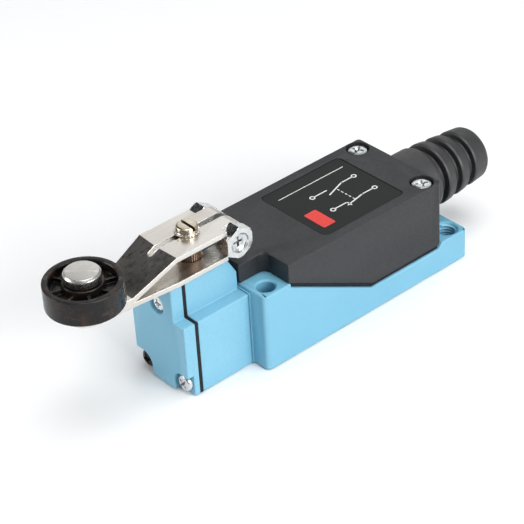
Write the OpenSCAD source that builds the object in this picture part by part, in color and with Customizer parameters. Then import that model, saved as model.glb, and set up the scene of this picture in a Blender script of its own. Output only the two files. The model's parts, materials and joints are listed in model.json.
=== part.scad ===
// Sealed roller-lever limit switch, lying on its back.
// Frame: +X along the body towards the operating head, +Z out of the cover,
// origin on the back face at the centre of the four mounting holes.

/* [Body] */
// Length of the die-cast base
body_l = 64; // [62:1:68]
// Width of the die-cast base
body_w = 28; // [27:0.5:30]
// Height of the two mounting ears beside the head
ear_z = 20; // [19:0.5:21]
// Height of the two mounting ears at the cable end
low_ear_z = 7.8; // [7.4:0.2:8.2]
// Height of the cover above the back face
cover_z = 25; // [24.6:0.2:27]

/* [Mounting] */
// Hole spacing along the body
pitch_x = 57; // [56:0.5:58]
// Hole spacing across the body
pitch_y = 21; // [20:0.5:21.5]
// Diameter of the two plain holes
plain_d = 4.3; // [4:0.1:4.5]
// Core diameter of the two M5 threaded holes
thread_d = 4.2; // [4:0.05:4.3]

/* [Head] */
// Width of the lower part of the head
head_w = 18.2; // [18:0.2:19]
// Width of the upper part of the head
neck_w = 11.2; // [11:0.2:12]
// Height of the head
head_z = 27.4; // [27:0.1:27.4]
// Thickness of the head end cap
cap_t = 3.2; // [3:0.1:3.6]

/* [Lever] */
// Distance from shaft axis to roller axis
lever_r = 28.2; // [28:0.2:38]
// Lever width at the clamp
lever_w = 12.8; // [12:0.2:14]
// Sheet thickness of the lever
sheet_t = 1.2; // [1:0.1:1.2]
// Outer height of the folded lever
fold_h = 7.55; // [7.3:0.05:7.7]

/* [Roller] */
// Roller diameter
roller_d = 17.5; // [16:0.5:20]
// Roller width
roller_t = 5.9; // [5.5:0.1:6]

/* [Cable entry] */
// Height of the cable axis above the back face
gland_z = 16.5; // [16.4:0.1:16.6]
// Diameter of the hole for the cable
cable_d = 8.8; // [8:0.1:9]

/* [Hidden] */
$fn = 64;
e = 0.05;
hx = body_l/2;              // head end of the base
cx = -23.4;                 // cable end of the cover
sx = hx + 8.85;             // shaft axis
px_z = 9.4;                 // height of the plunger axis
joint_x = hx + 0.4;         // rear face of the head
blk_x = hx + 14.94;         // front face of the head block
gsk_x = blk_x + 0.88;       // front face of the head gasket
cap_x = gsk_x + cap_t;      // front face of the cap
leaf0 = 28.05;              // underside of the lever
leaf1 = leaf0 + fold_h;     // top of the lever
bend_r = fold_h/2;
bend_x = sx - 8.55;         // axis of the clamp screw and of the fold
bend_z = leaf0 + bend_r;
rx = sx + lever_r;          // roller axis
dbl = leaf0 + 2*sheet_t;    // top of the doubled sheet at the roller
rol0 = dbl + 0.75;          // lower face of the roller
rol1 = rol0 + roller_t;     // upper face of the roller
scr_x = -20; scr_y = 10.7;  // cover screws
cap_top = [0, 21.3];        // upper cap screw, [y, z]
cap_low = [6.6, 2.8];       // lower cap screw
hs_low = [-6.5, 2.5];       // exposed head screw
hs_hid = [6.1, 16];           // head screw under the cap
floor_z = 3.4;

// ---- helpers ----------------------------------------------------------

// box from low corner to high corner
module box(a, b) { translate(a) cube([b[0]-a[0], b[1]-a[1], b[2]-a[2]]); }

// cylinder along X from x0 to x1 at height z, offset y
module xcyl(x0, x1, r, y = 0, z = px_z, r2 = -1) {
  translate([x0, y, z]) rotate([0, 90, 0]) cylinder(h = x1-x0, r1 = r, r2 = r2 < 0 ? r : r2);
}
module xring(x0, x1, ro, ri, y = 0, z = px_z) {
  difference() { xcyl(x0, x1, ro, y, z); xcyl(x0-e, x1+e, ri, y, z); }
}
module zring(z0, z1, ro, ri) {
  translate([0, 0, z0]) difference() {
    cylinder(h = z1-z0, r = ro); translate([0, 0, -e]) cylinder(h = z1-z0+2*e, r = ri);
  }
}
// flat outline in YZ pushed along X
module yz(x0, x1) {
  translate([x0, 0, 0]) rotate([90, 0, 90]) linear_extrude(x1-x0) children();
}
// flat outline in XZ pushed along Y, centred
module xz(w) { rotate([90, 0, 0]) linear_extrude(w, center = true) children(); }

// rectangle with true arcs at its corners
module rrect(x0, x1, y0, y1, r) {
  translate([x0+r, y0]) square([x1-x0-2*r, y1-y0]);
  translate([x0, y0+r]) square([x1-x0, y1-y0-2*r]);
  for (x = [x0+r, x1-r], y = [y0+r, y1-r]) translate([x, y]) circle(r);
}

// coil spring along +X: mean radius r, wire radius w, free of its end faces
function ring_pt(t, x, r, w, k, s) = let (a = t*360, b = 360*k/s)
  [x + w*sin(b), (r + w*cos(b))*cos(a), (r + w*cos(b))*sin(a)];
module coil(x0, x1, r, w, turns, s = 6) {
  n = 12;
  m = ceil(turns*n);
  xa = x0 + w + 0.03; xb = x1 - w - 0.03;
  // closed end turns, open turns between them
  function px(t) = let (u = min(max((t-0.8)/(turns-1.6), 0), 1))
    xa + 2*w*0.9*min(t, 0.8)/0.8*0.5 + (xb-xa-2*w*0.9)*u + 2*w*0.9*0.5*min(max(t-turns+0.8, 0), 0.8)/0.8;
  pts = [for (i = [0:m]) for (k = [0:s-1]) ring_pt(i*turns/m, px(i*turns/m), r, w, k, s)];
  faces = concat(
    [[for (k = [s-1:-1:0]) k]],
    [for (i = [0:m-1]) for (k = [0:s-1]) [i*s+k, i*s+(k+1)%s, (i+1)*s+(k+1)%s, (i+1)*s+k]],
    [[for (k = [0:s-1]) m*s+k]]);
  translate([0, 0, px_z]) polyhedron(points = pts, faces = faces, convexity = 10);
}

// screw along -Z: head on z, head radius hr, head height hh, shank radius sr, length sl
module zscrew(hr, hh, sr, sl, slot = 0.8) {
  difference() {
    union() {
      cylinder(h = hh*0.6, r = hr);
      translate([0, 0, hh*0.6]) cylinder(h = hh*0.4, r1 = hr, r2 = hr*0.72);
      translate([0, 0, -sl]) cylinder(h = sl+e, r = sr);
    }
    for (a = [0, 90]) rotate(a)
      translate([-hr*0.5, -slot/2, hh*0.45]) cube([hr, slot, hh]);
  }
}
// the same screw with its axis along X, head towards +X, at [y, z]
module xscrew(x, p, hr, hh, sr, sl, slot = 0.8) {
  translate([x, p[0], p[1]]) rotate([0, 90, 0]) zscrew(hr, hh, sr, sl, slot);
}

// ---- base and cover ----------------------------------------------------

// side outline of the base
module base_side() {
  polygon([[-hx, 0], [hx, 0], [hx, ear_z], [24, ear_z], [24, ear_z-1.05],
    [-0.6, 6.4], [-22.4, 6.4], [-23.7, low_ear_z], [-hx, low_ear_z]]);
}
// side outline of everything above the gasket
module cover_side() {
  polygon([[hx, ear_z], [24, ear_z], [-1, 7.4], [-22.4, 7.4], [cx, 8.2], [cx, cover_z], [hx, cover_z]]);
}
// centre lines of the two cover screws
module at_cover_screws() { for (s = [-1, 1]) translate([scr_x, s*scr_y, 0]) children(); }

// inner well shared by base, gasket and cover
module well(z0, z1, x0 = -20.4) {
  difference() {
    box([x0, -11.4, z0], [21.8, 11.4, z1]);
    at_cover_screws() {
      translate([0, 0, z0-e]) cylinder(h = z1-z0+2*e, r = 3);
    }
    for (s = [-1, 1]) translate([scr_x-3, s*(scr_y+1.5)-1.5, z0-e]) cube([5, 3, z1-z0+2*e]);
  }
}

module base_housing() {
  color([0.47, 0.73, 0.86]) difference() {
    union() {
      intersection() {
        xz(body_w) base_side();
        linear_extrude(40) rrect(-hx, hx, -body_w/2, body_w/2, 1.2);
      }
      // pad that the head sits on
      yz(hx-1, joint_x) translate([-head_w/2-0.2, 0]) square([head_w+0.4, 19.2]);
    }
    well(floor_z, 30);
    // mounting holes, plain and threaded on opposite diagonals
    for (s = [-1, 1]) {
      translate([s*pitch_x/2, s*pitch_y/2, -e]) cylinder(h = 30, r = plain_d/2);
      translate([s*pitch_x/2, -s*pitch_y/2, -e]) cylinder(h = 30, r = thread_d/2);
    }
    translate([pitch_x/2, pitch_y/2, ear_z-0.35]) cylinder(h = 0.4, r1 = plain_d/2, r2 = plain_d/2+0.4);
    translate([-pitch_x/2, -pitch_y/2, low_ear_z-0.35]) cylinder(h = 0.4, r1 = plain_d/2, r2 = plain_d/2+0.4);
    translate([pitch_x/2, -pitch_y/2, ear_z-0.4]) cylinder(h = 0.45, r1 = thread_d/2, r2 = thread_d/2+0.45);
    translate([-pitch_x/2, pitch_y/2, low_ear_z-0.4]) cylinder(h = 0.45, r1 = thread_d/2, r2 = thread_d/2+0.45);
    // cover screw threads
    at_cover_screws() translate([0, 0, 1]) cylinder(h = 9, r = 1.5);
    // plunger passage, with its O-ring groove
    xcyl(20, hx+1, 3.0);
    xcyl(30, hx+1, 3.1);
    xring(joint_x-0.8, joint_x+e, 5.3, 4.2);
    // threads for the head screws
    xcyl(22.9, hx+1, 1.5, hs_low[0], hs_low[1]);
    xcyl(22.9, hx+1, 1.5, hs_hid[0], hs_hid[1]);
    // pocket for the cover's hook
    box([27.3, -4.2, 15.6], [29.3, 4.2, 21]);
    box([27.3, -4.2, 15.6], [30.6, 4.2, 17.4]);
    // threads for the switch and the ground screw
    for (s = [-1, 1]) translate([-14.7, s*6, 0.8]) cylinder(h = 9, r = 1.5);
    translate([-17.6, 0, 0.8]) cylinder(h = 9, r = 1.5);
  }
}

module cover_gasket() {
  color([0.12, 0.12, 0.13]) difference() {
    xz(body_w-1.2) polygon([[-22.4, 6.4], [-0.6, 6.4], [24, ear_z-1.05], [24, ear_z], [-1, 7.4], [-22.4, 7.4]]);
    well(0, 30);
    at_cover_screws() cylinder(h = 30, r = 1.55);
  }
}

module cover() {
  color([0.25, 0.25, 0.26]) difference() {
    union() {
      difference() {
        intersection() {
          xz(body_w-0.4) cover_side();
          linear_extrude(60) rrect(cx, hx+2, -body_w/2+0.2, body_w/2-0.2, 1.0);
          translate([-60, -20, 0]) cube([60+hx, 40, 60]);
        }
        // open corners above the mounting ears
        for (s = [-1, 1]) translate([24.5, s > 0 ? 5.8 : -20, 0]) cube([20, 14.2, 60]);
      }
      // hook that holds the cover's front edge down
      box([27.5, -4, 15.8], [29.1, 4, ear_z+1]);
      box([27.5, -4, 15.8], [30.3, 4, 17.2]);
    }
    well(5, cover_z-1.9, -21.2);
    // screw holes and counterbores
    at_cover_screws() {
      cylinder(h = 40, r = 1.6);
      translate([0, 0, cover_z-1.9]) cylinder(h = 5, r = 2.85);
    }
    // recess for the label
    translate([0, 0, cover_z-0.45]) linear_extrude(2) rrect(-14.1, 10.9, -11.2, 11.2, 1.4);
    // wall hole for the cable gland
    xcyl(cx-1, -20, 5.6, 0, gland_z);
  }
}

module label_plate() {
  color([0.22, 0.22, 0.23]) translate([0, 0, cover_z-0.45])
    linear_extrude(0.3) rrect(-13.95, 10.75, -11.05, 11.05, 1.25);
}

module cover_screws() {
  color([0.78, 0.78, 0.76]) at_cover_screws() translate([0, 0, cover_z-1.9])
    zscrew(2.6, 1.6, 1.5, 21.6, 0.9);
}

// ---- cable entry -------------------------------------------------------

module cable_gland() {
  x0 = cx;
  color([0.25, 0.25, 0.26]) translate([0, 0, gland_z]) rotate([0, -90, 0]) rotate_extrude() polygon([
    [cable_d/2, 19], [6.5, 19], [6.5, 21.15], [5.6, 21.15], [5.6, -x0+0.05], [8.15, -x0+0.05],
    [8.15, 29.4], [7.9, 30.3], [6.1, 30.4], [6.1, 32.4], [7.6, 32.5], [7.9, 32.9], [7.75, 34.6], [7.45, 35.1],
    [5.9, 35.2], [5.9, 37.3], [7.2, 37.4], [7.5, 37.8], [7.35, 39.5], [7.05, 40.0],
    [5.6, 40.1], [5.6, 42.2], [6.8, 42.3], [7.1, 42.7], [6.75, 46.6], [6.2, 47.4], [cable_d/2, 47.4]]);
}
module gland_washer() {
  color([0.7, 0.7, 0.7]) xring(-18.98, -18.28, 6.5, 4.9, 0, gland_z);
}
module gland_retaining_ring() {
  color([0.55, 0.55, 0.55]) difference() {
    xring(-18.26, -17.4, 6.4, 5.0, 0, gland_z);
    box([-19, -1.2, 8], [-17, 1.2, 14]);
  }
}

// ---- head ----------------------------------------------------------------

// end-on outline of the head
module head_outline() {
  translate([-head_w/2, 0]) square([head_w, 19]);
  translate([-neck_w/2, 0]) square([neck_w, head_z]);
}

module head_housing() {
  color([0.47, 0.73, 0.86]) difference() {
    yz(joint_x, blk_x) head_outline();
    // chamfered top rear corner
    xz(40) polygon([[hx-1, 23.4], [joint_x, 23.4], [34.7, head_z+0.01], [34.7, 32], [hx-1, 32]]);
    // cam chamber, open towards the cap
    box([35.0, -4.5, 4.6], [blk_x+1, 4.5, 13.3]);
    // plunger passage
    xcyl(hx, 36, 3.2);
    // shaft bores
    translate([sx, 0, 13]) cylinder(h = 20, r = 3.3);
    translate([sx, 0, 21.5]) cylinder(h = 20, r = 3.9);
    translate([sx, 0, 1.6]) cylinder(h = 4, r = 3.9);
    // head screws: the lower one bears on the front face, the upper one is sunk
    xcyl(hx, blk_x+1, 1.55, hs_low[0], hs_low[1]);
    xcyl(hx, blk_x+1, 1.55, hs_hid[0], hs_hid[1]);
    xcyl(42.9, blk_x+1, 2.45, hs_hid[0], hs_hid[1]);
    // threads for the cap screws
    xcyl(45.0, blk_x+1, 1.25, cap_top[0], cap_top[1]);
    xcyl(45.0, blk_x+1, 1.25, cap_low[0], cap_low[1]);
  }
}

module head_joint_seal() {
  color([0.1, 0.1, 0.1]) translate([joint_x-0.4, 0, px_z]) rotate([0, 90, 0])
    rotate_extrude() translate([4.75, 0]) circle(0.4, $fn = 24);
}

// notch in gasket and cap for the exposed head screw
module screw_notch(x0, x1) {
  xcyl(x0, x1, 3.0, -6.7, 2.3);
  box([x0, -12, -1], [x1, -6.7, 5.3]);
  box([x0, -12, -1], [x1, -3.7, 2.3]);
}

module head_gasket() {
  color([0.12, 0.13, 0.15]) difference() {
    yz(blk_x, gsk_x) translate([0, 0]) intersection() {
      head_outline();
      translate([-20, 0.05]) square([40, 40]);
    }
    box([blk_x-1, -4.4, 5.2], [gsk_x+1, 4.4, 13.2]);
    xcyl(blk_x-1, gsk_x+1, 1.35, cap_top[0], cap_top[1]);
    xcyl(blk_x-1, gsk_x+1, 1.35, cap_low[0], cap_low[1]);
    screw_notch(blk_x-1, gsk_x+1);
  }
}

module head_cap() {
  color([0.47, 0.73, 0.86]) difference() {
    yz(gsk_x, cap_x) head_outline();
    // seat of the return spring
    xcyl(gsk_x-1, gsk_x+1.8, 3.3);
    // upper cap screw in a round counterbore
    xcyl(gsk_x-1, cap_x+1, 1.35, cap_top[0], cap_top[1]);
    xcyl(gsk_x+1.45, cap_x+1, 2.3, cap_top[0], cap_top[1]);
    // lower cap screw in a pocket that runs out at the corner
    xcyl(gsk_x-1, cap_x+1, 1.35, cap_low[0], cap_low[1]);
    xcyl(gsk_x+1.45, cap_x+1, 2.6, cap_low[0], cap_low[1]);
    box([gsk_x+1.45, 4.0, -1], [cap_x+1, 12, 2.8]);
    box([gsk_x+1.45, cap_low[0], -1], [cap_x+1, 12, 5.4]);
    screw_notch(gsk_x-1, cap_x+1);
  }
}

module cap_screws() {
  color([0.8, 0.8, 0.79]) for (p = [cap_top, cap_low])
    xscrew(gsk_x+1.45, p, 2.05, 1.4, 1.25, 4.2, 0.6);
}

module head_screws() {
  color([0.1, 0.1, 0.1]) {
    xscrew(blk_x+0.6, hs_low, 2.3, 2.9, 1.5, 18.5, 0.9);
    xscrew(43.5, hs_hid, 2.3, 2.9, 1.5, 18.5, 0.9);
  }
}
module head_screw_washers() {
  color([0.14, 0.14, 0.14]) {
    xring(blk_x, blk_x+0.6, 2.3, 1.55, hs_low[0], hs_low[1]);
    xring(42.9, 43.5, 2.3, 1.55, hs_hid[0], hs_hid[1]);
  }
}

module shaft_bush() { color([0.72, 0.58, 0.35]) translate([sx, 0, 0]) zring(22.8, head_z, 3.9, 2.95); }
module shaft_seal() { color([0.1, 0.1, 0.1]) translate([sx, 0, 0]) zring(21.6, 22.7, 3.9, 2.95); }
module lower_bush() { color([0.72, 0.58, 0.35]) translate([sx, 0, 0]) zring(1.6, 4.6, 3.9, 2.95); }

// ---- inside the base ------------------------------------------------------

module plunger_guide() { color([0.72, 0.58, 0.35]) xring(24, 30, 3.0, 1.85); }
module plunger_seal() { color([0.1, 0.1, 0.1]) xring(22.3, 23.9, 3.0, 1.86); }

// centres of the four terminals across the body
term_y = [-6.6, -2.7, 2.7, 6.6];
term_x = -9;

module switch_case() {
  color([0.16, 0.15, 0.14]) difference() {
    union() {
      box([-4, -8.6, floor_z], [18, 8.6, 16.4]);
      box([-13, -8.6, floor_z], [-3, 8.6, 9.4]);
      for (s = [-1, 1]) box([-16.4, s > 0 ? 3.6 : -8.6, floor_z], [-12.9, s > 0 ? 8.6 : -3.6, 5.6]);
      // barriers between the terminals
      for (y = [-4.65, 0, 4.65]) box([-12.6, y-0.2, 9.3], [-4, y+0.2, 12.6]);
    }
    box([-2.6, -7.2, 4.8], [16.4, 7.2, 17]);
    xcyl(15, 19, 1.65);
    for (s = [-1, 1]) {
      translate([-14.7, s*6, 0]) cylinder(h = 20, r = 1.6);
      // room for the screw heads
      translate([-14.7, s*6, 5.6]) cylinder(h = 20, r = 2.45);
      // slots for the contact strips
      box([-4.8, s > 0 ? 5.25 : -7.15, 4.8], [-2.5, s > 0 ? 7.15 : -5.25, 5.5]);
      box([-4.8, s > 0 ? 2.15 : -4.05, 4.8], [-2.5, s > 0 ? 4.05 : -2.15, 5.5]);
      box([-4.9, s > 0 ? 5.25 : -7.15, 4.8], [-4.1, s > 0 ? 7.15 : -5.25, 17]);
      box([-4.9, s > 0 ? 2.15 : -4.05, 4.8], [-4.1, s > 0 ? 4.05 : -2.15, 17]);
    }
    for (y = term_y) translate([term_x, y, 4.2]) cylinder(h = 10, r = 1.2);
  }
}
module switch_lid() {
  color([0.2, 0.19, 0.18]) difference() {
    union() {
      box([-4, -8.6, 16.4], [18, 8.6, 17.4]);
      difference() { box([-2.5, -7.1, 15.4], [16.3, 7.1, 16.5]); box([-1.3, -5.9, 15], [15.1, 5.9, 16.4]); }
    }
    for (s = [-1, 1]) {
      box([-5, s > 0 ? 5.2 : -7.2, 16], [-3.9, s > 0 ? 7.2 : -5.2, 18]);
      box([-5, s > 0 ? 2.1 : -4.1, 16], [-3.9, s > 0 ? 4.1 : -2.1, 18]);
    }
  }
}
module switch_screws() {
  color([0.78, 0.78, 0.76]) for (s = [-1, 1]) translate([-14.7, s*6, 5.6]) zscrew(2.3, 1.6, 1.5, 4.6);
}

// one fixed contact: plate, foot strip, riser and terminal pad, on the +Y side
module fixed_contact(xp, ya, yb, y0, y1, py, side) {
  // foot strip and riser
  box([-4.8, y0, 4.85], [xp+0.6, y1, 5.45]);
  box([-4.8, y0, 4.85], [-4.2, y1, 10.0]);
  // plate standing at the contact
  box([xp, y0, 4.85], [xp+0.6, y1, 11]);
  box([xp, ya, 7.8], [xp+0.6, yb, 11]);
  // contact button
  if (side > 0) xcyl(xp+0.59, xp+1.1, 1.0, 4.8); else xcyl(xp-0.5, xp+0.01, 1.0, 4.8);
  // terminal pad
  difference() {
    box([-12.2, py-1.7, 9.4], [-4.5, py+1.7, 10.0]);
    translate([term_x, py, 9]) cylinder(h = 2, r = 1.3);
  }
}
module nc_contacts() {
  color([0.76, 0.6, 0.3]) for (s = [0, 1]) mirror([0, s, 0]) fixed_contact(9.65, 3.7, 7.05, 5.3, 7.1, 6.6, -1);
}
module no_contacts() {
  color([0.76, 0.6, 0.3]) for (s = [0, 1]) mirror([0, s, 0]) fixed_contact(5.38, 2.3, 6.0, 2.2, 4.0, 2.7, 1);
}
module terminal_washers() {
  color([0.75, 0.75, 0.72]) for (y = term_y) difference() {
    box([term_x-1.7, y-1.7, 10.0], [term_x+1.7, y+1.7, 10.5]);
    translate([term_x, y, 9]) cylinder(h = 3, r = 1.25);
  }
}
module terminal_screws() {
  color([0.78, 0.76, 0.7]) for (y = term_y) translate([term_x, y, 10.5]) zscrew(1.7, 1.5, 1.2, 6, 0.6);
}
module ground_washer() {
  color([0.75, 0.75, 0.72]) translate([-17.6, 0, 0]) zring(floor_z, floor_z+0.5, 2.5, 1.55);
}
module ground_screw() {
  color([0.35, 0.6, 0.4]) translate([-17.6, 0, floor_z+0.5]) zscrew(2.2, 1.6, 1.5, 3, 0.7);
}

// ---- shaft and lever ---------------------------------------------------------

module shaft() {
  n = 36;
  color([0.6, 0.55, 0.48]) translate([sx, 0, 0]) difference() {
    union() {
      translate([0, 0, 2.0]) cylinder(h = 26.3, r = 2.9);
      // serrated end that the lever clamps on
      translate([0, 0, 27.9]) linear_extrude(leaf1-sheet_t-0.1-27.9)
        polygon([for (i = [0:2*n-1]) let (a = i*180/n, r = i%2 == 0 ? 2.88 : 2.66) [r*cos(a), r*sin(a)]]);
    }
    // circlip groove
    zring(5.0, 5.5, 4, 2.45);
    // cross hole for the cam pin
    translate([0, 0, 12]) rotate([90, 0, 0]) cylinder(h = 10, r = 0.75, center = true);
    // thread for the lever screw
    translate([0, 0, 27]) cylinder(h = 12, r = 1.5);
  }
}
module cam() {
  color([0.5, 0.5, 0.52]) translate([sx, 0, 5.75]) difference() {
    intersection() {
      cylinder(h = 7.25, r = 4.3);
      translate([-3.6, -3.6, -e]) cube([7.2, 7.2, 8]);
    }
    translate([0, 0, -e]) cylinder(h = 8, r = 2.9);
    translate([0, 0, 12-5.75]) rotate([90, 0, 0]) cylinder(h = 10, r = 0.75, center = true);
  }
}
module cam_pin() {
  color([0.6, 0.6, 0.6]) translate([sx, 0, 12]) rotate([90, 0, 0]) cylinder(h = 7.1, r = 0.75, center = true);
}
module shaft_circlip() {
  color([0.35, 0.35, 0.36]) translate([sx, 0, 0]) difference() {
    zring(5.0, 5.5, 3.8, 2.45);
    box([-5, -1.1, 4], [0, 1.1, 6]);
  }
}

// plan outline of the lever
module lever_plan() {
  w = lever_w/2;
  translate([bend_x-6, -4.25]) square([8.95, 8.5]);
  polygon([[bend_x+2.75, -w], [49, -w], [rx-7, -5.1], [rx, -4.9], [rx, 4.9], [rx-7, 5.1], [49, w], [bend_x+2.75, w]]);
  translate([rx, 0]) circle(4.9);
}
module lever() {
  t = sheet_t;
  xe = rx + 6;
  // slope between the parallel part and the doubled end
  xa = 49.2; xb = 60.5;
  color([0.72, 0.69, 0.65]) difference() {
    intersection() {
      xz(30) difference() {
        union() {
          translate([bend_x, bend_z]) circle(bend_r);
          polygon([[bend_x, leaf0], [xe, leaf0], [xe, dbl], [xb+0.12, dbl], [xa+0.12, leaf1], [bend_x, leaf1]]);
        }
        translate([bend_x, bend_z]) circle(bend_r-t);
        polygon([[bend_x, leaf0+t], [xb-0.4, leaf0+t], [xa-0.1, leaf1-t], [bend_x, leaf1-t]]);
      }
      linear_extrude(60) lever_plan();
    }
    // shaft bore in the lower leaf, screw hole in the upper one
    translate([sx, 0, leaf0-1]) cylinder(h = 3, r = 2.95);
    translate([sx, 0, leaf1-2]) cylinder(h = 3, r = 1.7);
    // relief slot: upper leaf, fold and lower leaf up to the bore
    box([bend_x-6, -0.75, leaf0-1], [sx, 0.75, leaf1+1]);
    box([sx, -0.75, leaf1-t-2.5], [51, 0.75, leaf1+1]);
    translate([51, 0, leaf1-4]) cylinder(h = 6, r = 0.75);
    // rivet hole
    translate([rx, 0, leaf0-1]) cylinder(h = 6, r = 2.0);
  }
}
module lever_lock_washer() {
  n = 14;
  color([0.6, 0.57, 0.5]) translate([sx, 0, leaf1]) linear_extrude(0.55) difference() {
    polygon([for (i = [0:2*n-1]) let (a = i*180/n, r = i%2 == 0 ? 3.15 : 2.65) [r*cos(a), r*sin(a)]]);
    circle(1.6);
  }
}
module lever_screw() {
  color([0.72, 0.68, 0.6]) translate([sx, 0, leaf1+0.55]) difference() {
    union() {
      cylinder(h = 1.35, r = 2.45);
      translate([0, 0, -7]) cylinder(h = 7+e, r = 1.5);
    }
    rotate(90) translate([-3, -0.35, 0.55]) cube([6, 0.7, 2]);
  }
}
module clamp_screw() {
  color([0.82, 0.82, 0.82]) translate([bend_x, 0, bend_z]) rotate([-90, 0, 0]) difference() {
    union() {
      translate([0, 0, 4.25]) rotate(30) cylinder(h = 3.1, r = 4.04, $fn = 6);
      translate([0, 0, -8.1]) cylinder(h = 12.4, r = 2.0);
    }
    // dished face with a cross recess
    translate([0, 0, 6.85]) cylinder(h = 1, r1 = 2.3, r2 = 2.6);
    for (a = [0, 90]) rotate(a) translate([-1.5, -0.4, 5.4]) cube([3, 0.8, 3]);
  }
}
module clamp_nut() {
  color([0.72, 0.74, 0.72]) translate([bend_x, 0, bend_z]) rotate([90, 0, 0]) difference() {
    translate([0, 0, 4.25]) rotate(30) cylinder(h = 3.0, r = 4.04, $fn = 6);
    translate([0, 0, 4]) cylinder(h = 4, r = 2.0);
  }
}

// ---- roller --------------------------------------------------------------------

module roller_pin() {
  color([0.75, 0.75, 0.73]) translate([rx, 0, 0]) {
    translate([0, 0, leaf0-1.0]) cylinder(h = 1.0, r1 = 2.7, r2 = 3.1);
    translate([0, 0, leaf0-e]) cylinder(h = rol1+0.15-leaf0+2*e, r = 2.0);
    translate([0, 0, rol1+0.15]) cylinder(h = 1.7, r = 4.1);
    translate([0, 0, rol1+1.85]) cylinder(h = 0.45, r1 = 4.1, r2 = 3.65);
  }
}
module roller_washer() { color([0.7, 0.7, 0.68]) translate([rx, 0, 0]) zring(dbl, dbl+0.6, 3.6, 2.0); }
module roller() {
  color([0.13, 0.12, 0.12]) translate([rx, 0, 0]) difference() {
    translate([0, 0, rol0]) cylinder(h = roller_t, r = roller_d/2);
    translate([0, 0, rol0-1]) cylinder(h = roller_t+2, r = 2.05);
    // recessed web with radial ribs, both sides
    for (z = [rol1-1.3, rol0-1]) difference() {
      zring(z, z+2.3, roller_d/2-1.5, 4.6);
      for (a = [0:45:359]) rotate(a+22.5) box([4, -0.3, z-1], [8, 0.3, z+3]);
    }
  }
}

// ---- plungers, button and springs ------------------------------------------------

module return_piston() {
  color([0.62, 0.62, 0.62]) { xcyl(45.35, 46.4, 3.6); xcyl(46.35, 47.3, 1.5); }
}
module return_spring() { color([0.6, 0.6, 0.6]) coil(46.4, gsk_x+1.8, 2.2, 0.28, 3.5); }
module plunger() {
  color([0.65, 0.65, 0.65]) { xcyl(35.1, 36.35, 3.0); xcyl(20.6, 35.2, 1.8); }
}
module plunger_spring() { color([0.6, 0.6, 0.6]) coil(30.0, 35.1, 2.45, 0.28, 5.5); }
module switch_button() {
  color([0.85, 0.82, 0.75]) { xcyl(3.0, 20.4, 1.6); xcyl(3.2, 4.0, 2.1); xcyl(14.6, 15.6, 2.6); }
}
module button_spring() { color([0.6, 0.6, 0.6]) coil(-2.6, 3.0, 1.3, 0.2, 6); }
module contact_bridge() {
  color([0.8, 0.66, 0.36]) difference() {
    union() {
      box([8.05, -6, 8.0], [8.55, 6, 10.8]);
      xcyl(8.05, 8.55, 2.7);
      for (s = [-1, 1]) xcyl(7.5, 9.1, 1.0, s*4.8);
    }
    xcyl(7, 10, 1.7);
  }
}
module contact_spring() { color([0.6, 0.6, 0.6]) coil(4.0, 8.05, 1.87, 0.15, 4.5); }

base_housing();
cover_gasket();
cover();
label_plate();
cover_screws();
cable_gland();
gland_washer();
gland_retaining_ring();
head_housing();
head_joint_seal();
head_gasket();
head_cap();
cap_screws();
head_screws();
head_screw_washers();
shaft_bush();
shaft_seal();
lower_bush();
plunger_guide();
plunger_seal();
switch_case();
switch_lid();
switch_screws();
nc_contacts();
no_contacts();
terminal_washers();
terminal_screws();
ground_screw();
ground_washer();
shaft();
cam();
cam_pin();
shaft_circlip();
lever();
lever_lock_washer();
lever_screw();
clamp_screw();
clamp_nut();
roller_pin();
roller_washer();
roller();
return_piston();
return_spring();
plunger();
plunger_spring();
switch_button();
button_spring();
contact_bridge();
contact_spring();
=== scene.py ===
import bpy
import bmesh
import json
import math
from mathutils import Matrix, Vector


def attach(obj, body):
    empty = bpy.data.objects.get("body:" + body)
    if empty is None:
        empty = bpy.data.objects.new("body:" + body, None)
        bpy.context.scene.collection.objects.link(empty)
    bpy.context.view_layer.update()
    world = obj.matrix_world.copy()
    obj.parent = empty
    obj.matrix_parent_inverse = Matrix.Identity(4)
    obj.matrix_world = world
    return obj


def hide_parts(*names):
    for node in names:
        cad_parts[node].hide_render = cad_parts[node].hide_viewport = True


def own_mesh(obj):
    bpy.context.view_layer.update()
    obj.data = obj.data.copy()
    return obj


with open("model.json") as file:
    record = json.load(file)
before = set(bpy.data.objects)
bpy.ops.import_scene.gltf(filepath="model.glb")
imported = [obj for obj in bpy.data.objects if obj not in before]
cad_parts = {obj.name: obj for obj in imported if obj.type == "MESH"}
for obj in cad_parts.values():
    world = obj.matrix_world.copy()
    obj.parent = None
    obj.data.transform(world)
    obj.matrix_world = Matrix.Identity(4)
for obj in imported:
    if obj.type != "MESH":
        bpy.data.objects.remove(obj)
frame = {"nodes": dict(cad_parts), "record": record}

MM = 0.001
REC = frame["record"]
NODES = frame["nodes"]
BODY = {n: b for b, ns in REC["behaviour"]["bodies"].items() for n in ns}
SLOT = {s["node"]: s["material_slot"] for s in REC["subparts"]}
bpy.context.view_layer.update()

# ---------------------------------------------------------------- materials


def lin(r, g, b):
    """sRGB 0-255 to linear."""
    def f(c):
        c = c / 255.0
        return c / 12.92 if c <= 0.04045 else ((c + 0.055) / 1.055) ** 2.4
    return (f(r), f(g), f(b), 1.0)


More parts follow.
